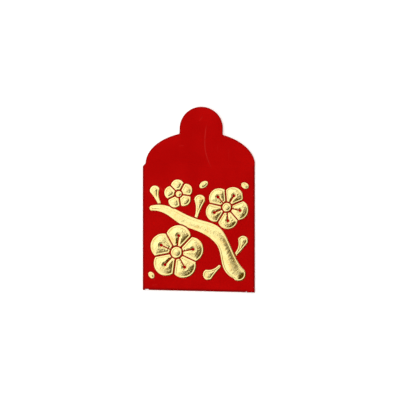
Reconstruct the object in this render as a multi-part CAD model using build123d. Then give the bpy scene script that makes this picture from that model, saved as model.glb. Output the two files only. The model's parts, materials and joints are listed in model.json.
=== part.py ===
from build123d import *

import os
from math import cos, hypot, radians, sin, tan

# Small red gift envelope, lying on its back with the front up and the top flap open.
# X runs across the pocket, +Y points to the flap and +Z out of the front.
# The origin is the middle of the back panel's outer face. Lengths are in millimetres, angles in degrees.

# Sheet, glue and foil
paper = 0.2                     # thickness of the coated paper
glue = 0.05                     # thickness of a dried glue strip
foil = 0.05                     # thickness of the stamped gold foil
emboss = 0.65                   # rise of the paper under the foil

# Pocket
pocket_width = 70.0             # across the two side folds
pocket_height = 79.0            # bottom fold to top crease
pocket_gap = 0.6                # free depth between side flaps and front panel
side_lean = 1.4                 # lean of both side folds, to -X at the top
left_nick = 2.0                 # relief cut beside the left end of the bottom fold
right_nick = 0.4                # the right one, which is only a slit

# Back panel, side flaps and glue
back_inset = 4.6                # side fold to back panel edge, at mid height
mouth_drop = 5.0                # top crease to the back panel's top edge
mouth_corner = 2.5              # radius of the back panel's top corners
side_flap_width = 13.0          # side fold's tangent line to the side flap's free edge
side_flap_taper = 6.0           # slope of each side flap's two ends
side_flap_clear = 1.0           # bottom fold to the side flap's slanting lower edge
glue_width = 4.0
glue_inset = 1.0                # back panel edge to glue strip
glue_end = 9.0                  # bare length at both ends of a glue strip

# Top flap
flap_inset = 0.8                # side fold to the foot of the shoulder arch, on each side
foot_slope = 48.0               # slope of the pocket's corner cut, from the arch's foot outwards
flap_rise = 20.6                # height of the shoulder arch
tab_width = 27.0                # diameter of the round tab
tab_reach = 36.1                # crease to the tip of the tab
tab_root = 0.8                  # fillet where the tab leaves the arch

# Foil motif: a flowering branch, drawn to its own size and fitted to the panel
motif_side_margin = 4.0         # side fold to motif
motif_top_margin = 9.5          # top crease to motif
motif_bottom_margin = 6.8       # bottom fold to motif
motif_drawn_width = 62.0
motif_drawn_height = 62.7
foil_gap = 0.9                  # bare paper between neighbouring pieces of foil
foil_corner = 0.8               # rounding of the petals' corners
stamen_width = 0.8              # bare line along the middle of a petal
stamen_dot = 1.0                # radius of the bare dot at its end

# Blossoms: centre from the motif's middle, radius, direction of the first petal
large_blossom = {"x": -13.5, "y": -14.3, "radius": 17.0, "turn": 84.0, "stamens": True}
medium_blossom = {"x": 17.2, "y": 14.6, "radius": 13.6, "turn": 60.0, "stamens": True}
small_blossom = {"x": -13.0, "y": 22.2, "radius": 9.0, "turn": 100.0, "stamens": False}
petal_count = 5
lobe_share = 0.46               # petal's round end, as a share of the blossom's radius
heart_share = 0.2               # blossom's middle button, likewise
stamen_share = 0.62             # reach of the stamen lines, likewise

# Branch: points along its middle line with the half width there, root first
branch_line = [
    (25.8, -27.0, 4.2),
    (19.0, -17.8, 4.6),
    (15.6, -8.6, 3.7),
    (9.4, -1.0, 4.3),
    (0.2, 2.8, 3.5),
    (-9.4, 6.2, 3.4),
    (-19.6, 11.8, 2.5),
    (-29.4, 13.0, 1.6),
]

# Buds: stem, waist and head, each with its half width
bud_lines = [
    [(23.6, -14.6, 1.0), (26.0, -11.2, 1.4), (27.8, -6.2, 3.2)],
    [(13.4, -22.6, 1.0), (10.6, -25.2, 1.4), (6.8, -27.6, 3.4)],
    [(-1.6, 8.4, 1.0), (-0.6, 12.6, 1.4), (0.2, 18.6, 3.4)],
    [(-25.0, 16.2, 0.9), (-26.4, 19.2, 1.2), (-28.0, 24.0, 3.0)],
]

# Fallen petals: middle, half length, half width, direction
fallen_petals = [
    (2.4, 28.4, 2.9, 1.9, 35.0),
    (28.2, 28.4, 2.5, 1.8, -30.0),
    (-28.8, -28.8, 2.3, 1.6, -50.0),
]

# Places whose difference is under this share are one place
same_place = 1e-5

# Levels of the folded sheet, from the surface it lies on
back_inner = paper
side_outer = back_inner + glue
side_inner = side_outer + paper
front_inner = side_inner + pocket_gap
front_outer = front_inner + paper
emboss_top = front_outer + emboss

# Folds and edges
side_radius = (front_outer - side_outer) / 2
bottom_radius = front_outer / 2
bottom_edge = -pocket_height / 2
bottom_tangent = bottom_edge + bottom_radius
top_crease = pocket_height / 2
mouth_edge = top_crease - mouth_drop
back_half = pocket_width / 2 - back_inset
flap_half = pocket_width / 2 - flap_inset
side_flap_low = bottom_tangent + side_flap_clear

# Place and scale of the motif
motif_room_width = pocket_width - 2 * motif_side_margin
motif_room_height = pocket_height - motif_top_margin - motif_bottom_margin
motif_scale = min(motif_room_width / motif_drawn_width, motif_room_height / motif_drawn_height)
motif_middle = bottom_edge + motif_bottom_margin + motif_room_height / 2


def fold_x(side, y, inset=0.0):
    """X of a line along a side fold, set in from the envelope's edge."""
    lean = radians(side_lean)
    return (side * (pocket_width / 2 - inset) - y * sin(lean)) / cos(lean)


def plate(outline, low, high):
    """A flat piece between two levels."""
    return extrude(Pos(0, 0, low) * outline, amount=high - low)


def polygon(*points):
    return make_face(Polyline(*points, close=True))


def half_tube(radius, length):
    """A fold of the sheet about the Y axis, open to +X."""
    ring = Circle(radius) - Circle(radius - paper)
    half = ring & Pos(-radius, 0) * Rectangle(2 * radius, 4 * radius)
    return extrude(Plane.XZ * half, amount=length / 2, both=True)


# The folded sheet
def corner_cut(side):
    """What a slanting cut beside the flap's foot takes off the pocket's upper corner."""
    outside = side * (flap_half + pocket_width)
    low = top_crease - pocket_width * tan(radians(foot_slope))
    return polygon((side * flap_half, top_crease), (outside, top_crease), (outside, low))


def front_outline():
    """Front panel between the tangent lines of its folds, with an ear at each lower corner."""
    left = -back_half - left_nick
    right = back_half + right_nick
    outline = polygon(
        (fold_x(-1, bottom_edge, side_radius), bottom_edge),
        (left, bottom_edge),
        (left, bottom_tangent),
        (right, bottom_tangent),
        (right, bottom_edge),
        (fold_x(1, bottom_edge, side_radius), bottom_edge),
        (fold_x(1, top_crease, side_radius), top_crease),
        (fold_x(-1, top_crease, side_radius), top_crease),
    )
    return outline - corner_cut(-1) - corner_cut(1)


def side_fold(side):
    middle = (front_outer + side_outer) / 2
    tube = half_tube(side_radius, 2 * pocket_height)
    if side > 0:
        tube = Rot(0, 0, 180) * tube
    leaning = Rot(0, 0, side_lean) * Pos(side * (pocket_width / 2 - side_radius), 0, middle) * tube
    whole = leaning & Box(2 * pocket_width, pocket_height, 4 * front_outer)
    return whole - plate(corner_cut(side), 0, front_outer)


def side_flap(side):
    """Strip behind the front panel, whose lower edge slants past the end of the bottom fold."""
    inner = side_radius + side_flap_width
    high = top_crease - side_flap_taper
    low = side_flap_low + side_flap_taper
    outline = polygon(
        (fold_x(side, bottom_edge, side_radius), bottom_edge),
        (fold_x(side, top_crease, side_radius), top_crease),
        (fold_x(side, high, inner), high),
        (fold_x(side, low, inner), low),
        (side * back_half, side_flap_low),
    )
    return plate(outline - corner_cut(side), side_outer, side_inner)


def bottom_fold():
    tube = Rot(0, 0, 90) * half_tube(bottom_radius, 2 * back_half)
    return Pos(0, bottom_tangent, bottom_radius) * tube


def back_panel():
    height = mouth_edge - bottom_tangent
    outline = Pos(0, bottom_tangent + height / 2) * Rectangle(2 * back_half, height)
    top_corners = outline.vertices().group_by(Axis.Y)[-1]
    return plate(fillet(top_corners, mouth_corner), 0, back_inner)


def glue_strip(side):
    low = bottom_tangent + glue_end
    high = mouth_edge - glue_end
    middle = side * (back_half - glue_inset - glue_width / 2)
    strip = Pos(middle, (low + high) / 2) * Rectangle(glue_width, high - low)
    return plate(strip, back_inner, side_outer)


def top_flap():
    """Shoulder arch with a round tab, cut off where the side folds' lines run on."""
    tab_middle = tab_reach - tab_width / 2
    arch = Ellipse(flap_half, flap_rise)
    tab_end = Pos(0, tab_middle) * Circle(tab_width / 2)
    tab_sides = Pos(0, tab_middle / 2) * Rectangle(tab_width, tab_middle)
    blank = plate(Pos(0, top_crease) * (arch + tab_end + tab_sides), front_inner, front_outer)
    roots = [edge for edge in blank.edges().filter_by(Axis.Z) if is_tab_root(edge.center())]
    high = top_crease + tab_reach
    band = polygon(
        (fold_x(-1, top_crease), top_crease),
        (fold_x(1, top_crease), top_crease),
        (fold_x(1, high), high),
        (fold_x(-1, high), high),
    )
    return fillet(roots, tab_root) & plate(band, front_inner, front_outer)


def is_tab_root(place):
    """Whether a place on the flap's outline is where the tab's side meets the arch."""
    on_arch = hypot(place.X / flap_half, (place.Y - top_crease) / flap_rise)
    beside_tab = abs(place.X) < tab_width / 2 + tab_root
    return abs(on_arch - 1) < same_place and beside_tab and place.Y > top_crease


# The motif's outlines, each drawn with its edge moved inwards by an inset
def stroke(line, inset):
    """A stroke with round ends along a smooth line of changing width."""
    points = [(x * motif_scale, y * motif_scale, half * motif_scale - inset) for x, y, half in line]
    left = []
    right = []
    for index, (x, y, half) in enumerate(points):
        before = points[max(index - 1, 0)]
        after = points[min(index + 1, len(points) - 1)]
        length = hypot(after[0] - before[0], after[1] - before[1])
        across = (-(after[1] - before[1]) / length, (after[0] - before[0]) / length)
        left.append((x + across[0] * half, y + across[1] * half))
        right.append((x - across[0] * half, y - across[1] * half))
    start = round_end(points[0], points[1])
    end = round_end(points[-1], points[-2])
    edges = [
        Spline(*left),
        ThreePointArc(left[-1], end, right[-1]),
        Spline(*reversed(right)),
        ThreePointArc(right[0], start, left[0]),
    ]
    return make_face(Wire(edges))


def round_end(point, neighbour):
    """The outermost point of a stroke's end."""
    x, y, half = point
    length = hypot(x - neighbour[0], y - neighbour[1])
    return (x + (x - neighbour[0]) / length * half, y + (y - neighbour[1]) / length * half)


def around(blossom, piece):
    """Copies of a first petal's piece, turned about the blossom's middle."""
    middle = Pos(blossom["x"] * motif_scale, blossom["y"] * motif_scale)
    step = 360.0 / petal_count
    return [middle * Rot(0, 0, blossom["turn"] + step * index) * piece for index in range(petal_count)]


def petals(blossom, inset):
    radius = blossom["radius"] * motif_scale
    lobe = lobe_share * radius
    sector = radians(180.0 / petal_count)
    apex = (foil_gap / 2 + inset) / sin(sector)
    spread = 2 * radius * tan(sector)
    wedge = polygon((apex, 0), (apex + 2 * radius, spread), (apex + 2 * radius, -spread))
    petal = Pos(radius - lobe, 0) * Circle(lobe - inset) & wedge
    petal = petal - Circle(heart_share * radius + foil_gap + inset)
    petal = fillet(petal.vertices(), foil_corner - inset)
    if blossom["stamens"]:
        reach = stamen_share * radius
        line = Pos(reach / 2, 0) * Rectangle(reach, stamen_width + 2 * inset)
        petal = petal - (line + Pos(reach, 0) * Circle(stamen_dot + inset))
    return around(blossom, petal)


def heart(blossom, inset):
    """The round button in the middle of a blossom."""
    middle = Pos(blossom["x"] * motif_scale, blossom["y"] * motif_scale)
    return [middle * Circle(heart_share * blossom["radius"] * motif_scale - inset)]


def blossom_clearing(inset):
    """The blossoms' outer shape with bare paper round it, which cuts what lies behind them."""
    clearing = []
    for blossom in (large_blossom, medium_blossom, small_blossom):
        radius = blossom["radius"] * motif_scale
        lobe = lobe_share * radius
        clearing += around(blossom, Pos(radius - lobe, 0) * Circle(lobe + foil_gap + inset))
    return clearing


def branch(inset):
    return [stroke(branch_line, inset) - blossom_clearing(inset)]


def buds(inset):
    in_front = blossom_clearing(inset) + [stroke(branch_line, -foil_gap - inset)]
    return [stroke(line, inset) - in_front for line in bud_lines]


def loose_petals(inset):
    shapes = []
    for x, y, half_length, half_width, turn in fallen_petals:
        oval = Ellipse(half_length * motif_scale - inset, half_width * motif_scale - inset)
        place = Pos(x * motif_scale, y * motif_scale) * Rot(0, 0, turn)
        shapes.append(place * oval - blossom_clearing(inset))
    return shapes


motif = {
    "foil_branch": branch,
    "foil_large_petals": lambda inset: petals(large_blossom, inset),
    "foil_large_heart": lambda inset: heart(large_blossom, inset),
    "foil_medium_petals": lambda inset: petals(medium_blossom, inset),
    "foil_medium_heart": lambda inset: heart(medium_blossom, inset),
    "foil_small_petals": lambda inset: petals(small_blossom, inset),
    "foil_small_heart": lambda inset: heart(small_blossom, inset),
    "foil_buds": buds,
    "foil_fallen_petals": loose_petals,
}


def motif_plates(outlines, low, high):
    return [plate(Pos(0, motif_middle) * outline, low, high) for outline in outlines]


def front_panel():
    """Front panel, pressed up from behind under the foil at the sheet's own thickness."""
    panel = plate(front_outline(), front_inner, front_outer)
    for outlines in motif.values():
        panel = panel + motif_plates(outlines(0.0), front_outer, emboss_top)
        panel = panel - motif_plates(outlines(paper), front_inner, emboss_top - paper)
    return panel


parts = {
    "front_panel": front_panel(),
    "left_side_fold": side_fold(-1),
    "right_side_fold": side_fold(1),
    "left_side_flap": side_flap(-1),
    "right_side_flap": side_flap(1),
    "bottom_fold": bottom_fold(),
    "back_panel": back_panel(),
    "left_glue_strip": glue_strip(-1),
    "right_glue_strip": glue_strip(1),
    "top_flap": top_flap(),
}
for name, outlines in motif.items():
    pieces = motif_plates(outlines(0.0), emboss_top, emboss_top + foil)
    parts[name] = Compound(children=[solid for piece in pieces for solid in piece.solids()])

os.makedirs("parts", exist_ok=True)
for name, shape in parts.items():
    export_step(shape, f"parts/{name}.step")
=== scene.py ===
import json
import math

import bmesh
import bpy
import numpy as np
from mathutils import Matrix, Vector
from mathutils.geometry import delaunay_2d_cdt
from mathutils.kdtree import KDTree


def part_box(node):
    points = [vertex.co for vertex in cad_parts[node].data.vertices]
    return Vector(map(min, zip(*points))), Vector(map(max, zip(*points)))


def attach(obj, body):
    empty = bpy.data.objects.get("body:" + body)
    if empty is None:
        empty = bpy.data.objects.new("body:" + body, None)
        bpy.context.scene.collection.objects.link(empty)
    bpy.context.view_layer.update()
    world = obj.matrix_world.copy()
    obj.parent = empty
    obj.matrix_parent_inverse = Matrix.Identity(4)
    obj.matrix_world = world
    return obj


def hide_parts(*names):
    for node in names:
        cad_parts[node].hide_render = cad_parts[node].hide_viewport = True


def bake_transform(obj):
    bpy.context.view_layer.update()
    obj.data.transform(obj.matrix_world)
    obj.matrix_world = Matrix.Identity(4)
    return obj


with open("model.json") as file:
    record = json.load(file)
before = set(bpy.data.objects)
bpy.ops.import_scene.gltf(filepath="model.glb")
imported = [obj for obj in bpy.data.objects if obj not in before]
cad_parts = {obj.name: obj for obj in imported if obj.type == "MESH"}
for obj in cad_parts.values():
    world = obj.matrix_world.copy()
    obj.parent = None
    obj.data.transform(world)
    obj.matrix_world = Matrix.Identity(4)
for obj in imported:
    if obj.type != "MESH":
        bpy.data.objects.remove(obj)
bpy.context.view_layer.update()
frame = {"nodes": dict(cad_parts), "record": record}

# Small red gift envelope on its back, front up, top flap open. Metres; +Y points to the flap.
mm = 0.001

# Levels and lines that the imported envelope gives
paper_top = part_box("top_flap")[1].z
paper_thickness = paper_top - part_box("top_flap")[0].z
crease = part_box("front_panel")[1].y
bottom_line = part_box("front_panel")[0].y
flap_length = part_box("top_flap")[1].y - crease

# Half the pocket's width, and the lean of its side folds against the flap
half_width = 35.0 * mm
side_lean = math.radians(1.4)

foil_pieces = [
    "foil_branch",
    "foil_large_petals",
    "foil_large_heart",
    "foil_medium_petals",
    "foil_medium_heart",
    "foil_small_petals",
    "foil_small_heart",
    "foil_buds",
    "foil_fallen_petals",
]

# Sizes of the flat blanks, in millimetres
rim_width = 1.2          # flat rim of a foil piece
rim_share = 0.4          # the most of a narrow piece's half width that its rim takes
rim_rings = [0.12, 0.33, 0.6, 0.8, 1.0, 1.2, 1.4]    # mesh rings in from the foil's edge, in rim widths
ring_room = 0.9          # share of its ring's distance that a point keeps from every outline
slit_width = 2.3         # widest bare slit that doesn't end a foil piece's crown
foil_mesh_step = 0.34
sheet_mesh_step = 1.1
fold_mesh_step = 0.2     # between rows of the strip that bends at the crease
flap_edge_rings = [0.3, 0.6]
plain_edge_rings = [0.25, 0.5, 0.8]

# Sizes in metres
fold_reach = 1.1 * mm    # half the strip that bends at the crease
weld = 0.002 * mm        # points closer than this are one


# Node trees

noise_range = (0.25, 0.75)    # where nearly all values of a noise lie
noise_middle = (0.3, 0.7)     # where most of them lie


class Wiring:
    """Adds nodes to one node tree and joins them up."""

    def __init__(self, tree):
        self.tree = tree

    def add(self, kind, inputs=None, **settings):
        node = self.tree.nodes.new(kind)
        for name, value in settings.items():
            setattr(node, name, value)
        for key, value in (inputs or {}).items():
            self.join(value, node.inputs[key])
        return node

    def join(self, value, socket):
        if isinstance(value, bpy.types.NodeSocket):
            self.tree.links.new(value, socket)
        else:
            socket.default_value = value

    def math(self, operation, *values):
        return self.add("ShaderNodeMath", dict(enumerate(values)), operation=operation).outputs[0]

    def total(self, first, *others):
        for other in others:
            first = self.math("ADD", first, other)
        return first

    def product(self, first, *others):
        for other in others:
            first = self.math("MULTIPLY", first, other)
        return first

    def mixed(self, first, second, share):
        """A share of the first value and the rest of the second."""
        return self.math("MULTIPLY_ADD", first, share, self.product(second, 1.0 - share))

    def ease(self, value, start, end, low=0.0, high=1.0, kind="SMOOTHSTEP"):
        sockets = {"Value": value, "From Min": start, "From Max": end, "To Min": low, "To Max": high}
        return self.add("ShaderNodeMapRange", sockets, interpolation_type=kind).outputs[0]

    def noise(self, place, scale, detail=2.0, seed=0.0, distortion=0.0):
        sockets = {"Vector": place, "W": seed, "Scale": scale, "Detail": detail, "Distortion": distortion}
        return self.add("ShaderNodeTexNoise", sockets, noise_dimensions="4D").outputs[0]

    def swing(self, noise):
        """A noise spread to between -1 and 1."""
        return self.ease(noise, *noise_range, low=-1.0, high=1.0, kind="LINEAR")

    def stretched(self, place, scale, turn):
        sockets = {"Vector": place, "Scale": (*scale, 1.0), "Rotation": (0.0, 0.0, turn)}
        return self.add("ShaderNodeMapping", sockets).outputs[0]

    def tint(self, share, first, second):
        sockets = {0: share, 6: first, 7: second}
        return self.add("ShaderNodeMix", sockets, data_type="RGBA").outputs[2]

    def bump(self, height, strength, distance):
        sockets = {"Strength": strength, "Distance": distance, "Height": height}
        return self.add("ShaderNodeBump", sockets).outputs[0]

    def mark(self, name):
        return self.add("ShaderNodeAttribute", attribute_name=name).outputs["Fac"]

    def choose(self, switch, no, yes):
        return self.add("GeometryNodeSwitch", {0: switch, 1: no, 2: yes}, input_type="FLOAT").outputs[0]


def new_tree(name, inputs, outputs):
    """A Geometry Nodes tree with named sockets, its wiring, what it is given and its result."""
    tree = bpy.data.node_groups.new(name, "GeometryNodeTree")
    for label, kind in inputs:
        tree.interface.new_socket(label, in_out="INPUT", socket_type=kind)
    for label, kind in outputs:
        tree.interface.new_socket(label, in_out="OUTPUT", socket_type=kind)
    wiring = Wiring(tree)
    given = wiring.add("NodeGroupInput").outputs
    result = wiring.add("NodeGroupOutput").inputs
    return tree, wiring, given, result


FLOAT, SHAPE = "NodeSocketFloat", "NodeSocketGeometry"
wave_inputs = [
    ("Half width", FLOAT),
    ("Lean", FLOAT),
    ("Bottom line", FLOAT),
    ("Crease", FLOAT),
    ("Settle", FLOAT),
    ("Wave height", FLOAT),
    ("Flap wave height", FLOAT),
    ("Wave length", FLOAT),
    ("Wave seed", FLOAT),
]
wave_values = {
    "Half width": half_width,
    "Lean": side_lean,
    "Bottom line": bottom_line,
    "Crease": crease,
    "Settle": 9.0 * mm,    # how far from a fold the waves have their full height
    "Wave height": 0.07 * mm,
    "Flap wave height": 0.3 * mm,
    "Wave length": 30.0 * mm,
    "Wave seed": 4.0,
}


def wave_tree():
    """Slow waviness of the sheet, which dies out at the folds and at the crease."""
    tree, w, given, result = new_tree("sheet_wave", wave_inputs, [("Lift", FLOAT)])
    place = w.add("GeometryNodeInputPosition").outputs[0]
    across, along, _ = w.add("ShaderNodeSeparateXYZ", {0: place}).outputs
    crossing = w.total(w.product(across, w.math("COSINE", given["Lean"])),
                       w.product(along, w.math("SINE", given["Lean"])))
    from_sides = w.math("SUBTRACT", given["Half width"], w.math("ABSOLUTE", crossing))
    from_bottom = w.math("SUBTRACT", along, given["Bottom line"])
    past_crease = w.math("SUBTRACT", along, given["Crease"])
    on_flap = w.math("GREATER_THAN", past_crease, 0.0)
    from_folds = w.math("MINIMUM", from_sides, from_bottom)
    from_crease = w.math("ABSOLUTE", past_crease)
    nearest = w.choose(on_flap, w.math("MINIMUM", from_folds, from_crease), from_crease)
    height = w.choose(on_flap, given["Wave height"], given["Flap wave height"])
    scale = w.math("DIVIDE", 1.0, given["Wave length"])
    swell = w.swing(w.noise(place, scale, detail=1.0, seed=given["Wave seed"]))
    settled = w.ease(nearest, 0.0, given["Settle"])
    w.join(w.product(swell, height, settled), result["Lift"])
    return tree


def thickness_tree():
    """A pressed surface gets its thickness, straight down, and becomes a closed piece."""
    inputs = [("Surface", SHAPE), ("Thickness", FLOAT)]
    tree, w, given, result = new_tree("sheet_thickness", inputs, [("Piece", SHAPE)])
    down = w.add("ShaderNodeCombineXYZ", {2: w.product(given["Thickness"], -1.0)}).outputs[0]
    sockets = {"Mesh": given["Surface"], "Offset": down, "Offset Scale": 1.0, "Individual": False}
    pushed = w.add("GeometryNodeExtrudeMesh", sockets, mode="FACES").outputs
    sockets = {"Geometry": pushed["Mesh"], "Selection": pushed["Top"], "Name": "front_side", "Value": 0.0}
    under = w.add("GeometryNodeStoreNamedAttribute", sockets, data_type="FLOAT", domain="POINT").outputs[0]
    under = w.add("GeometryNodeFlipFaces", {0: under}).outputs[0]
    both = w.add("GeometryNodeJoinGeometry")
    w.join(under, both.inputs[0])
    w.join(given["Surface"], both.inputs[0])
    closed = w.add("GeometryNodeMergeByDistance", {"Geometry": both.outputs[0], "Distance": weld})
    w.join(closed.outputs[0], result["Piece"])
    return tree


def edge_distance(w, surface, place, slits=True):
    """Distance from each point to the open edge of a flat blank, with its narrow slits or without."""
    neighbours = w.add("GeometryNodeInputMeshEdgeNeighbors").outputs[0]
    edge_of_one = {2: neighbours, 3: 1}
    open_edge = w.add("FunctionNodeCompare", edge_of_one, data_type="INT", operation="EQUAL").outputs[0]
    if not slits:
        # An edge has the mean of its ends' marks, and from here on both ends lie on a slit
        both_ends = 0.75
        slit = w.add("GeometryNodeInputNamedAttribute", {"Name": "slit"}, data_type="FLOAT").outputs[0]
        outer = w.math("LESS_THAN", slit, both_ends)
        open_edge = w.add("FunctionNodeBooleanMath", {0: open_edge, 1: outer}, operation="AND").outputs[0]
    sockets = {"Geometry": surface, "Selection": open_edge}
    rim = w.add("GeometryNodeSeparateGeometry", sockets, domain="EDGE").outputs[0]
    return w.add("GeometryNodeProximity", {0: rim, "Sample Position": place},
                 target_element="EDGES").outputs["Distance"]


def dark_edge_mask(w, given, place):
    """1 at the open edge of the blank, fading to 0 over the dark edge width: where the paper is painted
    darker, which is painted shade where the edge turns over a fold.
    """
    return w.ease(edge_distance(w, given["Blank"], place), 0.0, given["Dark edge width"], low=1.0, high=0.0)


def add_wave(w, given):
    """The sheet's waviness, from the tree's own wave inputs."""
    group = w.add("GeometryNodeGroup", node_tree=bpy.data.node_groups["sheet_wave"])
    for label, _ in wave_inputs:
        w.join(given[label], group.inputs[label])
    return group.outputs["Lift"]


def finish_tree(w, given, result, offset, marks):
    """Keeps the blank's marks for the material, moves it by its relief and closes the piece."""
    surface = given["Blank"]
    for label, value in marks.items():
        data_type = "FLOAT_VECTOR" if label.endswith("_place") else "FLOAT"
        store = w.add("GeometryNodeStoreNamedAttribute", {"Geometry": surface, "Name": label},
                      data_type=data_type, domain="POINT")
        w.join(value, store.inputs["Value"])
        surface = store.outputs[0]
    lift = w.add("ShaderNodeCombineXYZ", {2: offset}).outputs[0]
    surface = w.add("GeometryNodeSetPosition", {"Geometry": surface, "Offset": lift}).outputs[0]
    closing = w.add("GeometryNodeGroup", node_tree=bpy.data.node_groups["sheet_thickness"])
    w.join(surface, closing.inputs["Surface"])
    w.join(given["Thickness"], closing.inputs["Thickness"])
    smooth = w.add("GeometryNodeSetShadeSmooth", {"Geometry": closing.outputs[0]}).outputs[0]
    whole = w.add("GeometryNodeRealizeInstances", {0: smooth}).outputs[0]
    coated = w.add("GeometryNodeSetMaterial", {"Geometry": whole, "Material": given["Material"]})
    w.join(coated.outputs[0], result["Piece"])


def pressed_sheet_tree():
    """Front panel and top flap as one sheet, pressed up under the foil and scored at the crease."""
    inputs = [("Blank", SHAPE), ("Foil blanks", "NodeSocketObject")]
    inputs += [(label, FLOAT) for label in (
        "Rise", "Bevel start", "Bevel end", "Lip height", "Lip reach", "Score depth", "Score width",
        "Flap lift", "Flap length", "Dark edge width", "Thickness")]
    inputs += wave_inputs + [("Material", "NodeSocketMaterial")]
    tree, w, given, result = new_tree("pressed_sheet", inputs, [("Piece", SHAPE)])
    place = w.add("GeometryNodeInputPosition").outputs[0]
    blanks = w.add("GeometryNodeObjectInfo", {"Object": given["Foil blanks"]},
                   transform_space="ORIGINAL").outputs["Geometry"]
    to_face = w.add("GeometryNodeProximity", {0: blanks, "Sample Position": place},
                    target_element="FACES").outputs["Distance"]
    to_rim = edge_distance(w, blanks, place)
    under_foil = w.math("LESS_THAN", to_face, weld)
    inward = w.choose(under_foil, w.product(to_rim, -1.0), to_rim)
    pressed = w.ease(inward, w.product(given["Lip reach"], -1.0), 0.0)
    lip = w.product(given["Lip height"], pressed)
    raised = w.product(given["Rise"], w.ease(inward, given["Bevel start"], given["Bevel end"]))
    along = w.add("ShaderNodeSeparateXYZ", {0: place}).outputs[1]
    past_crease = w.math("SUBTRACT", along, given["Crease"])
    score = w.ease(w.math("ABSOLUTE", past_crease), 0.0, given["Score width"],
                   low=w.product(given["Score depth"], -1.0), high=0.0)
    share = w.math("MAXIMUM", w.math("DIVIDE", past_crease, given["Flap length"]), 0.0)
    lift = w.product(given["Flap lift"], w.product(share, share))
    offset = w.total(add_wave(w, given), raised, lip, score, lift)
    # The first two marks: the band along the open edges where the paper is painted darker, which is
    # painted shade where they turn over the folds, and the ring round the foil that gets painted shade
    marks = {"cut_edge": dark_edge_mask(w, given, place), "pressed": pressed, "sheet_place": place,
             "front_side": 1.0}
    finish_tree(w, given, result, offset, marks)
    return tree


def plain_sheet_tree():
    """A flat stretch of the sheet behind the front, darker along its edges."""
    inputs = [("Blank", SHAPE), ("Dark edge width", FLOAT), ("Thickness", FLOAT)]
    inputs += [("Material", "NodeSocketMaterial")]
    tree, w, given, result = new_tree("plain_sheet", inputs, [("Piece", SHAPE)])
    place = w.add("GeometryNodeInputPosition").outputs[0]
    marks = {"cut_edge": dark_edge_mask(w, given, place), "sheet_place": place}
    finish_tree(w, given, result, 0.0, marks)
    return tree


def stamped_foil_tree():
    """Foil stamped over the pressed paper: a flat rim, a fine groove and a crinkled, crowned body."""
    narrow_power = 0.75                    # how a narrow piece's crown gets lower with its width
    ridge_start, ridge_end = 0.25, 0.7     # where the crown's ridge begins to be eased and is in full
    ridge_rounds = 14
    inputs = [("Blank", SHAPE)]
    inputs += [(label, FLOAT) for label in (
        "Lip height", "Rim width", "Rim height", "Rim rounding", "Groove depth", "Groove width",
        "Crown", "Crown reach", "Crinkle depth", "Crinkle size", "Fine crinkle", "Seed", "Thickness")]
    inputs += wave_inputs + [("Material", "NodeSocketMaterial")]
    tree, w, given, result = new_tree("stamped_foil", inputs, [("Piece", SHAPE)])
    place = w.add("GeometryNodeInputPosition").outputs[0]
    inward = edge_distance(w, given["Blank"], place)
    from_outside = edge_distance(w, given["Blank"], place, slits=False)
    past_rim = w.math("SUBTRACT", from_outside, given["Rim width"])
    off_slits = w.ease(inward, 0.0, given["Rim width"])
    sockets = {"Geometry": given["Blank"], 2: from_outside}
    most = w.add("GeometryNodeAttributeStatistic", sockets).outputs["Max"]
    reach = w.math("MINIMUM", given["Crown reach"], w.math("SUBTRACT", most, given["Rim width"]))
    height = w.math("POWER", w.math("DIVIDE", reach, given["Crown reach"]), narrow_power)
    left_over = w.ease(past_rim, 0.0, reach, low=1.0, high=0.0, kind="LINEAR")
    crown = w.math("SUBTRACT", 1.0, w.product(left_over, left_over))
    easing = w.ease(past_rim, w.product(reach, ridge_start), w.product(reach, ridge_end))
    sockets = {"Iterations": ridge_rounds, "Weight": easing}
    blur = w.add("GeometryNodeBlurAttribute", sockets, data_type="FLOAT")
    w.join(crown, blur.inputs[0])
    crown = w.product(blur.outputs[0], height, off_slits)
    edge = w.ease(inward, 0.0, given["Rim rounding"])
    groove = w.ease(w.math("ABSOLUTE", past_rim), 0.0, given["Groove width"], low=-1.0, high=0.0)
    scale = w.math("DIVIDE", 1.0, given["Crinkle size"])
    rough = w.noise(place, scale, detail=2.5, seed=given["Seed"], distortion=0.4)
    crinkle = w.product(w.swing(rough), w.ease(past_rim, 0.0, given["Rim width"]), off_slits)
    offset = w.total(add_wave(w, given), given["Lip height"])
    shapes = {"Rim height": edge, "Groove depth": groove, "Crown": crown, "Crinkle depth": crinkle}
    for size, shape in shapes.items():
        offset = w.total(offset, w.product(given[size], shape))
    marks = {"past_rim": past_rim, "crinkle": crinkle, "fine_crinkle": given["Fine crinkle"]}
    finish_tree(w, given, result, offset, marks)
    return tree


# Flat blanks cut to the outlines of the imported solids, in millimetres

def top_outlines(name, level):
    """Closed outlines round the upward faces of a solid at one level, each turning left."""
    least_upward, same_level = 0.9, 10 * weld
    work = bmesh.new()
    work.from_mesh(frame["nodes"][name].data)
    bmesh.ops.remove_doubles(work, verts=work.verts, dist=weld)
    work.verts.index_update()
    upward = [face for face in work.faces if face.normal.z > least_upward
              and abs(face.calc_center_median().z - level) < same_level]
    level_faces = set(upward)
    after = {}
    for face in upward:
        for corner in face.loops:
            if sum(other in level_faces for other in corner.edge.link_faces) == 1:
                after[corner.vert.index] = corner.link_loop_next.vert.index
    points = [(vert.co.x / mm, vert.co.y / mm) for vert in work.verts]
    work.free()
    outlines = []
    while after:
        first, following = after.popitem()
        ring = [first]
        while following != first:
            ring.append(following)
            following = after.pop(following)
        outlines.append(np.array([points[index] for index in ring]))
    return sorted(outlines, key=lambda ring: -np.ptp(ring[:, 0]))


def divided(ring, step):
    """The outline with points no further apart than step."""
    parts = []
    for start, end in zip(ring, np.roll(ring, -1, axis=0)):
        count = max(1, math.ceil(np.hypot(*(end - start)) / step))
        share = np.arange(count)[:, None] / count
        parts.append(start + (end - start) * share)
    return np.concatenate(parts)


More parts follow.
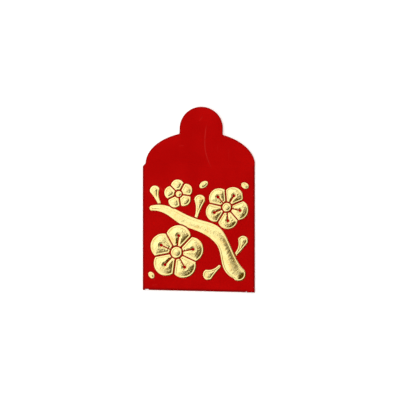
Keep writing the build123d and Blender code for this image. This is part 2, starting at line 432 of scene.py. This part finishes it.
def inside(points, rings):
    """Whether each point lies inside the outlines."""
    crossings = np.zeros(len(points), int)
    for ring in rings:
        for (x0, y0), (x1, y1) in zip(ring, np.roll(ring, -1, axis=0)):
            if y0 != y1:
                spans = (points[:, 1] > y0) != (points[:, 1] > y1)
                meets = x0 + (points[:, 1] - y0) / (y1 - y0) * (x1 - x0)
                crossings += spans & (points[:, 0] < meets)
    return crossings % 2 == 1


def clearance(points, rings):
    """Distance from each point to the nearest outline point."""
    every = np.concatenate(rings)
    tree = KDTree(len(every))
    for index, (x, y) in enumerate(every):
        tree.insert((x, y, 0.0), index)
    tree.balance()
    return np.array([tree.find((x, y, 0.0))[2] for x, y in points])


def left_of(ring):
    """Direction of unit length to the left of an outline, which is inward, at each of its points."""
    ahead = np.roll(ring, -1, axis=0) - np.roll(ring, 1, axis=0)
    left = np.stack([-ahead[:, 1], ahead[:, 0]], axis=1)
    return left / np.linalg.norm(left, axis=1)[:, None]


def inner_rings(ring, distances):
    """Points beside an outline, at each distance in from it."""
    beside = [(ring + left_of(ring) * distance, distance) for distance in distances]
    return [(points[clearance(points, [ring]) > ring_room * distance], distance)
            for points, distance in beside]


def slit_points(ring, width):
    """Which points of an outline face another stretch of the same outline across a narrow slit."""
    least_facing = 0.7
    outward = -left_of(ring)
    across = ring[None, :, :] - ring[:, None, :]
    gap = np.linalg.norm(across, axis=2)
    faces_it = (across * outward[:, None, :]).sum(axis=2) > least_facing * gap
    return ((gap > 0.0) & (gap < width) & faces_it).any(axis=1)


def grid(rings, step):
    """Points of a triangular grid over the outlines' box."""
    every = np.concatenate(rings)
    low, high = every.min(axis=0), every.max(axis=0)
    row_step = step * math.sqrt(0.75)
    rows = np.arange(low[1], high[1], row_step)
    columns = np.arange(low[0], high[0], step)
    return np.array([(x + (step / 2 if index % 2 else 0.0), y)
                     for index, y in enumerate(rows) for x in columns])


def blank_mesh(name, rings, points, level=paper_top):
    """A flat triangle mesh inside the outlines and through all the points, at one level."""
    faces_inside, same_place = 1, 1e-6
    places, edges = [], []
    for ring in rings:
        first = len(places)
        places += [Vector(place) for place in ring]
        edges += [(first + index, first + (index + 1) % len(ring)) for index in range(len(ring))]
    places += [Vector(place) for place in points]
    corners, _, faces, sources = delaunay_2d_cdt(places, edges, [], faces_inside, same_place)[:4]
    mesh = bpy.data.meshes.new(name)
    mesh.from_pydata([(x * mm, y * mm, level) for x, y in corners], [], faces)
    slits = np.concatenate([slit_points(ring, slit_width) for ring in rings])
    flags = [float(any(slits[index] for index in merged if index < len(slits))) for merged in sources]
    mesh.attributes.new("slit", "FLOAT", "POINT").data.foreach_set("value", flags)
    mesh.update()
    return mesh


def foil_blank(name):
    """A foil piece's blank, finest round the groove inside its rim, with its outlines and rim width."""
    rings = [divided(ring, foil_mesh_step) for ring in top_outlines(name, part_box(name)[1].z)]
    middle = grid(rings, foil_mesh_step)
    middle = middle[inside(middle, rings)]
    depths = clearance(middle, rings)
    rim = min(rim_width, rim_share * depths.max())
    points = [middle[depths > rim * rim_rings[-1] + foil_mesh_step / 2]]
    for ring in rings:
        for beside, distance in inner_rings(ring, [rim * share for share in rim_rings]):
            clear = clearance(beside, rings) > ring_room * distance
            points.append(beside[clear & inside(beside, rings)])
    return blank_mesh(name + "_blank", rings, np.concatenate(points)), rings, rim


def sheet_blank(foil_rings):
    """Flat blank of front panel and top flap, fine at the crease and along the foil's edges."""
    fold_line, reach = crease / mm, fold_reach / mm
    panel = divided(top_outlines("front_panel", paper_top)[0], sheet_mesh_step)
    flap = divided(top_outlines("top_flap", paper_top)[0], sheet_mesh_step / 2)
    rings = [panel, flap]
    points = grid(rings, sheet_mesh_step)
    points = points[abs(points[:, 1] - fold_line) >= reach + sheet_mesh_step / 2]
    rows = np.arange(-reach, reach + fold_mesh_step / 2, fold_mesh_step)
    columns = np.arange(-half_width / mm, half_width / mm, sheet_mesh_step)
    strip = np.array([(x, fold_line + y) for y in rows for x in columns if abs(y) > fold_mesh_step / 2])
    points = np.concatenate([points, strip])
    points = points[inside(points, [panel]) | inside(points, [flap])]
    points = points[clearance(points, rings + foil_rings) > sheet_mesh_step / 3]
    band = np.concatenate([beside for beside, _ in inner_rings(flap, flap_edge_rings)])
    band = band[inside(band, [flap]) & (band[:, 1] > fold_line + flap_edge_rings[0])]
    return blank_mesh("front_sheet_blank", rings + foil_rings, np.concatenate([points, band]))


def plain_blank(name):
    """Flat blank of a stretch behind the front, with a fine band along its edges."""
    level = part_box(name)[1].z
    rings = [divided(top_outlines(name, level)[0], sheet_mesh_step)]
    points = grid(rings, sheet_mesh_step)
    points = points[inside(points, rings)]
    points = points[clearance(points, rings) > sheet_mesh_step]
    band = np.concatenate([beside for beside, _ in inner_rings(rings[0], plain_edge_rings)])
    band = band[inside(band, rings)]
    return blank_mesh(name + "_blank", rings, np.concatenate([points, band]), level)


def new_object(name, data):
    """An object with this mesh, lamp or camera, linked to the scene."""
    made = bpy.data.objects.new(name, data)
    bpy.context.scene.collection.objects.link(made)
    return made


def piece_from(name, mesh, tree, values):
    """Runs a blank through its tree and keeps the result as a plain mesh piece."""
    sharp_angle = math.radians(50)
    blank = new_object(name + "_work", mesh)
    modifier = blank.modifiers.new(tree.name, "NODES")
    modifier.node_group = tree
    sockets = {item.name: item.identifier for item in tree.interface.items_tree
               if item.in_out == "INPUT"}
    for label, value in values.items():
        modifier[sockets[label]] = value
    bpy.context.view_layer.update()
    evaluated = blank.evaluated_get(bpy.context.evaluated_depsgraph_get())
    made = bpy.data.meshes.new_from_object(evaluated)
    made.name = name
    made.set_sharp_from_angle(angle=sharp_angle)
    blank.modifiers.clear()
    bpy.data.objects.remove(blank)
    bpy.data.meshes.remove(mesh)
    return new_object(name, made)


# Materials. Colours are red, green, blue and alpha

deep_red = (0.455, 0.0004, 0.0004, 1.0)
bright_red = (0.505, 0.0012, 0.001, 1.0)
fleck_red = (0.38, 0.0003, 0.0003, 1.0)
rubbed_red = (0.7, 0.06, 0.05, 1.0)
# Painted shade colour: the paper's darker edge band, the ring round the foil and the fold pieces
shade_red = (0.16, 0.0004, 0.0006, 1.0)
pale_gold = (0.79, 0.68, 0.295, 1.0)
warm_gold = (0.75, 0.55, 0.19, 1.0)
pale_paste = (0.78, 0.72, 0.58, 1.0)
yellow_paste = (0.66, 0.58, 0.42, 1.0)
white = (1.0, 1.0, 1.0, 1.0)
table_white = (0.85, 0.85, 0.85, 1.0)
tan_cloth = (0.7, 0.45, 0.06, 1.0)
brown_cloth = (0.15, 0.095, 0.002, 1.0)
grey_cloth = (0.11, 0.1, 0.06, 1.0)

# Faint scuffs on the front: start, end and half width, in millimetres
scuffs = [
    ((-25.3, 25.4), (-20.0, 19.2), 0.5),
    ((-28.0, 18.6), (-25.6, 18.4), 0.35),
    ((-27.6, -30.2), (-26.9, -33.3), 0.4),
    ((-28.1, -36.5), (-25.4, -36.1), 0.35),
    ((-13.4, 50.8), (-11.0, 51.1), 0.45),
    ((-1.1, 67.0), (0.4, 69.2), 0.4),
]
scuff_strength = 0.16
long_scuff_strength = 0.3

# How much darker the paper is painted: along its open edges, which is painted shade where they turn over
# the folds; painted shade round the foil's raised rim; painted shade over the fold pieces
edge_darkening = 0.85
press_shade_darkness = 0.5
fold_shade_darkness = 0.6


def bare_material(name):
    """A material with an empty node tree, and its wiring."""
    material = bpy.data.materials.new(name)
    material.use_nodes = True
    material.node_tree.nodes.clear()
    return material, Wiring(material.node_tree)


def new_material(name, attribute=None):
    """A material with its wiring, the place in millimetres and the shader's inputs."""
    material, w = bare_material(name)
    place = w.add("ShaderNodeTexCoord").outputs["Object"]
    if attribute:
        place = w.add("ShaderNodeAttribute", attribute_name=attribute).outputs["Vector"]
    place = w.add("ShaderNodeMapping", {"Vector": place, "Scale": (1 / mm, 1 / mm, 1 / mm)}).outputs[0]
    shader = w.add("ShaderNodeBsdfPrincipled")
    output = w.add("ShaderNodeOutputMaterial")
    w.join(shader.outputs[0], output.inputs["Surface"])
    return material, w, place, shader.inputs


def short_scuff(w, place, start, end, reach):
    """1 on a straight mark, fading to 0 at its sides."""
    first, last = Vector((*start, 0.0)), Vector((*end, 0.0))
    course = last - first
    flat = w.add("ShaderNodeVectorMath", {0: place, 1: (1.0, 1.0, 0.0)}, operation="MULTIPLY").outputs[0]
    there = w.add("ShaderNodeVectorMath", {0: flat, 1: first}, operation="SUBTRACT").outputs[0]
    share = w.add("ShaderNodeVectorMath", {0: there, 1: course / course.length_squared},
                  operation="DOT_PRODUCT").outputs["Value"]
    share = w.ease(share, 0.0, 1.0, kind="LINEAR")
    nearest = w.add("ShaderNodeVectorMath", {0: course, "Scale": share}, operation="SCALE").outputs[0]
    gap = w.add("ShaderNodeVectorMath", {0: there, 1: nearest}, operation="DISTANCE").outputs["Value"]
    return w.ease(gap, 0.0, reach, low=1.0, high=0.0)


def long_scuff(w, across, along):
    """1 on the long curved scuff that runs down the flap, fading to 0 at its sides and ends."""
    # In millimetres. The bends grow with the square of the distance from the turn
    turn, aside, reach = 54.0, 2.4, 0.42
    bend_above, bend_below = 0.0074, 0.0172
    fade_above, fade_below = (6.0, 11.5), (11.0, 18.0)
    below = w.math("MAXIMUM", w.math("SUBTRACT", turn, along), 0.0)
    above = w.math("MAXIMUM", w.math("SUBTRACT", along, turn), 0.0)
    middle = w.math("MULTIPLY_ADD", w.product(below, below), bend_below, aside)
    middle = w.math("MULTIPLY_ADD", w.product(above, above), bend_above, middle)
    beside = w.math("ABSOLUTE", w.math("SUBTRACT", across, middle))
    mark = w.ease(beside, 0.0, reach, low=1.0, high=0.0)
    return w.product(mark, w.ease(above, *fade_above, low=1.0, high=0.0),
                     w.ease(below, *fade_below, low=1.0, high=0.0))


def red_coated_paper(name, depth=0.0, attribute=None):
    """Dyed red paper with a satin coat: faint cloudiness, fibres and rubbed places; darker along its open
    edges, with painted shade where they turn over the folds, round the foil and, at the given depth, over
    a whole fold piece.
    """
    material, w, place, shader = new_material(name, attribute)
    across, along, _ = w.add("ShaderNodeSeparateXYZ", {0: place}).outputs
    cloud = w.noise(place, scale=0.06, detail=3.0, seed=1.0)
    fleck = w.noise(place, scale=3.2, detail=3.0, seed=2.0, distortion=0.6)
    grain = w.stretched(place, scale=(1.6, 0.22), turn=0.35)
    fibre = w.noise(grain, scale=2.4, detail=4.0, seed=3.0, distortion=1.2)
    colour = w.tint(w.ease(cloud, *noise_middle), deep_red, bright_red)
    colour = w.tint(w.ease(fleck, start=0.45, end=0.8, high=0.3), colour, fleck_red)
    # Rubbed places: the long scuff, the short ones and a sparse fine grain in one direction
    broken = w.noise(place, scale=0.7, detail=2.0, seed=5.0)
    broken = w.ease(broken, start=0.25, end=0.6, low=0.45, high=1.0)
    marks = w.product(long_scuff(w, across, along), long_scuff_strength)
    for start, end, reach in scuffs:
        mark = w.product(short_scuff(w, place, start, end, reach), scuff_strength)
        marks = w.math("MAXIMUM", marks, mark)
    marks = w.product(marks, w.mark("front_side"))
    rub = w.stretched(place, scale=(0.9, 0.05), turn=-0.5)
    rubbed = w.noise(rub, scale=1.0, detail=3.0, seed=7.0)
    rubbed = w.ease(rubbed, start=0.66, end=0.8, high=0.1)
    worn = w.math("MAXIMUM", w.product(marks, broken), rubbed)
    colour = w.tint(worn, colour, rubbed_red)
    # The sheet is darker along its open edges, with painted shade where they turn over the folds, round
    # the foil and over the fold pieces, and not evenly
    along_edges = w.product(w.mark("cut_edge"), edge_darkening)
    pressed = w.product(w.mark("pressed"), press_shade_darkness)
    dark = w.math("MAXIMUM", w.math("MAXIMUM", along_edges, pressed), depth)
    uneven = w.noise(place, scale=1.4, detail=3.0, seed=9.0)
    dark = w.product(dark, w.ease(uneven, start=0.25, end=0.6, low=0.7, high=1.0))
    colour = w.tint(dark, colour, shade_red)
    w.join(colour, shader["Base Color"])
    w.join(w.ease(fibre, *noise_middle, low=0.5, high=0.64), shader["Roughness"])
    shader["Specular IOR Level"].default_value = 0.02
    scuff_depth = 0.8
    height = w.math("SUBTRACT", w.mixed(fibre, fleck, share=0.6), w.product(marks, scuff_depth))
    w.join(w.bump(height, strength=0.35, distance=0.02 * mm), shader["Normal"])
    return material


def stamped_gold_foil():
    """Bright metallised foil with fine crinkles and a tone that varies at random, with painted shade in
    the crinkles' hollows and a painted highlight on their crests.
    """
    material, w, place, shader = new_material("stamped_gold_foil")
    cloud = w.noise(place, scale=0.3, detail=3.0, seed=11.0, distortion=0.5)
    fine = w.noise(place, scale=0.95, detail=4.0, seed=12.0, distortion=0.8)
    grain = w.noise(place, scale=9.0, detail=2.0, seed=13.0)
    # Painted shade: the crinkles' hollows lean to the warmer, darker gold and their crests to the paler
    # one, over a random tone
    crest_share = 0.12
    crests = w.product(w.mark("crinkle"), crest_share)
    tone_and_shade = w.math("SUBTRACT", w.mixed(cloud, fine, share=0.7), crests)
    colour = w.tint(w.ease(tone_and_shade, start=0.45, end=0.7), pale_gold, warm_gold)
    w.join(colour, shader["Base Color"])
    shader["Metallic"].default_value = 1.0
    w.join(w.ease(fine, *noise_middle, low=0.08, high=0.18), shader["Roughness"])
    # The rim is smoother than the body, and the branch smoother than the blossoms
    body = w.ease(w.mark("past_rim"), start=0.0, end=0.6 * mm, low=0.12, high=1.0)
    height = w.product(w.mixed(fine, grain, share=0.85), body, w.mark("fine_crinkle"))
    w.join(w.bump(height, strength=0.8, distance=0.26 * mm), shader["Normal"])
    return material


def clear_dried_glue():
    """Thin dried paste between the side flaps and the back panel, uneven and slightly yellow."""
    material, w, place, shader = new_material("clear_dried_glue")
    cloud = w.noise(place, scale=0.7, detail=3.0, seed=21.0, distortion=0.8)
    ripple = w.noise(place, scale=2.6, detail=3.0, seed=22.0, distortion=0.4)
    w.join(w.tint(w.ease(cloud, *noise_middle), pale_paste, yellow_paste), shader["Base Color"])
    w.join(w.ease(ripple, *noise_middle, low=0.28, high=0.5), shader["Roughness"])
    w.join(w.bump(ripple, strength=0.4, distance=0.03 * mm), shader["Normal"])
    return material


# The envelope

red_paper = red_coated_paper("red_coated_paper", attribute="sheet_place")
# A shaded copy of the paper for the fold pieces: painted shade all over them
fold_shaded_paper = red_coated_paper("red_coated_paper_fold_shade", depth=fold_shade_darkness)
gold_foil = stamped_gold_foil()
dried_glue = clear_dried_glue()
wave_tree()
thickness_tree()
sheet_tree = pressed_sheet_tree()
plain_tree = plain_sheet_tree()
foil_tree = stamped_foil_tree()

blanks = {}
rims = {}
foil_rings = []
for name in foil_pieces:
    blanks[name], rings, rims[name] = foil_blank(name)
    foil_rings += rings

# All foil blanks together show the press where the paper rises
together = bmesh.new()
for mesh in blanks.values():
    together.from_mesh(mesh)
press_mesh = bpy.data.meshes.new("press_plate")
together.to_mesh(press_mesh)
together.free()
press_plate = new_object("press_plate", press_mesh)

lip_height = 0.03 * mm
# Width of the band along the open edges where the paper is painted darker
dark_edge_width = 0.75 * mm
front_sheet = piece_from("front_sheet", sheet_blank(foil_rings), sheet_tree, {
    **wave_values,
    "Foil blanks": press_plate,
    "Rise": 0.3 * mm,
    "Bevel start": 1.4 * mm,
    "Bevel end": 3.4 * mm,
    "Lip height": lip_height,
    "Lip reach": 0.5 * mm,
    "Score depth": 0.04 * mm,
    "Score width": 0.7 * mm,
    "Flap lift": 0.3 * mm,
    "Flap length": flap_length,
    "Dark edge width": dark_edge_width,
    "Thickness": paper_thickness,
    "Material": red_paper,
})
bpy.data.objects.remove(press_plate)
bpy.data.meshes.remove(press_mesh)
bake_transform(front_sheet)
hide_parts("front_panel", "top_flap")

for name in ("back_panel", "left_side_flap", "right_side_flap"):
    piece = piece_from("paper_" + name, plain_blank(name), plain_tree, {
        "Dark edge width": dark_edge_width,
        "Thickness": paper_thickness,
        "Material": red_paper,
    })
    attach(piece, "pocket")
    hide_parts(name)

foil_film = 0.05 * mm
foil_sunk = 0.03 * mm
first_seed = 30.0
smoother = {"foil_branch": 0.35}    # share of the usual crinkle
for count, name in enumerate(foil_pieces):
    crinkle_share = smoother.get(name, 1.0)
    piece = piece_from("stamped_" + name, blanks[name], foil_tree, {
        **wave_values,
        "Lip height": lip_height + foil_film,
        "Rim width": rims[name] * mm,
        "Rim height": 0.07 * mm,
        "Rim rounding": 0.4 * mm,
        "Groove depth": 0.05 * mm,
        "Groove width": 0.55 * mm,
        "Crown": 0.6 * mm,
        "Crown reach": 4.5 * mm,
        "Crinkle depth": 0.07 * mm * crinkle_share,
        "Crinkle size": 1.5 * mm,
        "Fine crinkle": crinkle_share,
        "Seed": first_seed + count,
        "Thickness": foil_film + foil_sunk,
        "Material": gold_foil,
    })
    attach(piece, "pocket")
    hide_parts(name)

finishes = {"red_paper": red_paper, "gold_foil": gold_foil, "dried_glue": dried_glue}
for part in frame["record"]["subparts"]:
    finish = finishes[part["material_slot"]]
    # The fold pieces get the shaded copy of the paper, painted shade of their bend
    if part["node"].endswith("_fold"):
        finish = fold_shaded_paper
    mesh = frame["nodes"][part["node"]].data
    mesh.materials.clear()
    mesh.materials.append(finish)


# Floor, light and camera

def pale_floor():
    """A wide white table top, clear from below and close by, so that light reaches the envelope's back."""
    reach, drop, close_by = 1.0, 0.01 * mm, 3.0 * mm
    mesh = bpy.data.meshes.new("floor")
    mesh.from_pydata([(-reach, -reach, 0), (reach, -reach, 0), (reach, reach, 0), (-reach, reach, 0)],
                     [], [(0, 1, 2, 3)])
    floor = new_object("floor", mesh)
    floor.location.z = -drop
    material, w = bare_material("white_table")
    matte = w.add("ShaderNodeBsdfDiffuse", {"Color": table_white}).outputs[0]
    # The glow makes the table white in the picture and in the foil, and lights nothing else
    glow = w.add("ShaderNodeEmission", {"Color": white, "Strength": 0.39}).outputs[0]
    lit = w.add("ShaderNodeAddShader", {0: matte, 1: glow}).outputs[0]
    rays = w.add("ShaderNodeLightPath").outputs
    seen = w.math("MAXIMUM", rays["Is Camera Ray"], rays["Is Glossy Ray"])
    seen = w.math("MAXIMUM", seen, rays["Is Transmission Ray"])
    top = w.add("ShaderNodeMixShader", {0: seen, 1: matte, 2: lit}).outputs[0]
    under = w.add("ShaderNodeNewGeometry").outputs["Backfacing"]
    beneath = w.math("LESS_THAN", rays["Ray Length"], close_by)
    clear = w.add("ShaderNodeBsdfTransparent").outputs[0]
    open_share = w.math("MAXIMUM", under, beneath)
    whole = w.add("ShaderNodeMixShader", {0: open_share, 1: top, 2: clear}).outputs[0]
    w.join(whole, w.add("ShaderNodeOutputMaterial").inputs["Surface"])
    mesh.materials.append(material)
    return floor


def light_tent():
    """A round tent for the foil to mirror: dull at its foot, with a warm dark panel and two tan strips."""
    work = bmesh.new()
    bmesh.ops.create_uvsphere(work, u_segments=64, v_segments=32, radius=5.0)
    mesh = bpy.data.meshes.new("light_tent")
    work.to_mesh(mesh)
    work.free()
    material, w = bare_material("tent_cloth")
    place = w.add("ShaderNodeTexCoord").outputs["Object"]
    towards = w.add("ShaderNodeVectorMath", {0: place}, operation="NORMALIZE").outputs[0]
    across, along, height = w.add("ShaderNodeSeparateXYZ", {0: towards}).outputs
    height = w.math("ABSOLUTE", height)
    towards = w.add("ShaderNodeCombineXYZ", {0: across, 1: along, 2: height}).outputs[0]
    # Where the panel and the strips hang, as directions from the envelope
    panel, left_strip, top_strip = (0.62, -0.48, 0.62), (-0.8, 0.4, 0.45), (0.35, 0.85, 0.45)

    def patch(middle, angles, heights, share):
        """A patch that fades between two angles from its middle and between two heights."""
        sockets = {0: towards, 1: Vector(middle).normalized()}
        facing = w.add("ShaderNodeVectorMath", sockets, operation="DOT_PRODUCT").outputs["Value"]
        outer, inner = (math.cos(math.radians(angle)) for angle in angles)
        return w.product(w.ease(facing, outer, inner, high=share), w.ease(height, *heights))

    layers = [(w.ease(height, start=0.0, end=0.72, low=0.8, high=0.0), grey_cloth)]
    for strip in (left_strip, top_strip):
        layers.append((patch(strip, angles=(30, 18), heights=(0.1, 0.3), share=0.5), tan_cloth))
    layers.append((patch(panel, angles=(50, 43), heights=(0.3, 0.45), share=0.65), tan_cloth))
    layers.append((patch(panel, angles=(47, 40), heights=(0.36, 0.5), share=1.0), brown_cloth))
    cloth = w.add("ShaderNodeBsdfTransparent").outputs[0]
    for share, colour in layers:
        dyed = w.add("ShaderNodeBsdfDiffuse", {"Color": colour}).outputs[0]
        cloth = w.add("ShaderNodeMixShader", {0: share, 1: cloth, 2: dyed}).outputs[0]
    w.join(cloth, w.add("ShaderNodeOutputMaterial").inputs["Surface"])
    mesh.materials.append(material)
    tent = new_object("light_tent", mesh)
    tent.visible_camera = False
    return tent


def studio_light():
    """White from all sides, and a wide soft lamp to the upper left."""
    world = bpy.data.worlds.new("studio")
    world.use_nodes = True
    world.node_tree.nodes.clear()
    w = Wiring(world.node_tree)
    background = w.add("ShaderNodeBackground", {"Color": white, "Strength": 1.41})
    w.join(background.outputs[0], w.add("ShaderNodeOutputWorld").inputs["Surface"])
    bpy.context.scene.world = world
    lamp = bpy.data.lights.new("soft_lamp", "AREA")
    lamp.shape = "DISK"
    lamp.size = 1.8
    lamp.energy = 3.0
    holder = new_object("soft_lamp", lamp)
    holder.location = (-0.84, 0.56, 1.0)
    holder.rotation_euler = (-holder.location).to_track_quat("-Z", "Y").to_euler()
    holder.visible_camera = False


def overhead_camera():
    """Straight above, turned so that the leaning side folds stand upright in the picture."""
    data = bpy.data.cameras.new("camera")
    data.lens = 85.0
    data.sensor_width = 36.0
    # The picture's width at the paper's level, and its middle, seen from the back panel's middle
    field = 249.6 * mm
    aside, above = 0.73 * mm, 17.42 * mm
    lean_cos, lean_sin = math.cos(side_lean), math.sin(side_lean)
    camera = new_object("camera", data)
    camera.location = (
        aside * lean_cos - above * lean_sin,
        aside * lean_sin + above * lean_cos,
        paper_top + field * data.lens / data.sensor_width,
    )
    camera.rotation_euler = (0.0, 0.0, side_lean)
    bpy.context.scene.camera = camera


pale_floor()
light_tent()
studio_light()
overhead_camera()
bpy.context.scene.view_settings.view_transform = "Standard"
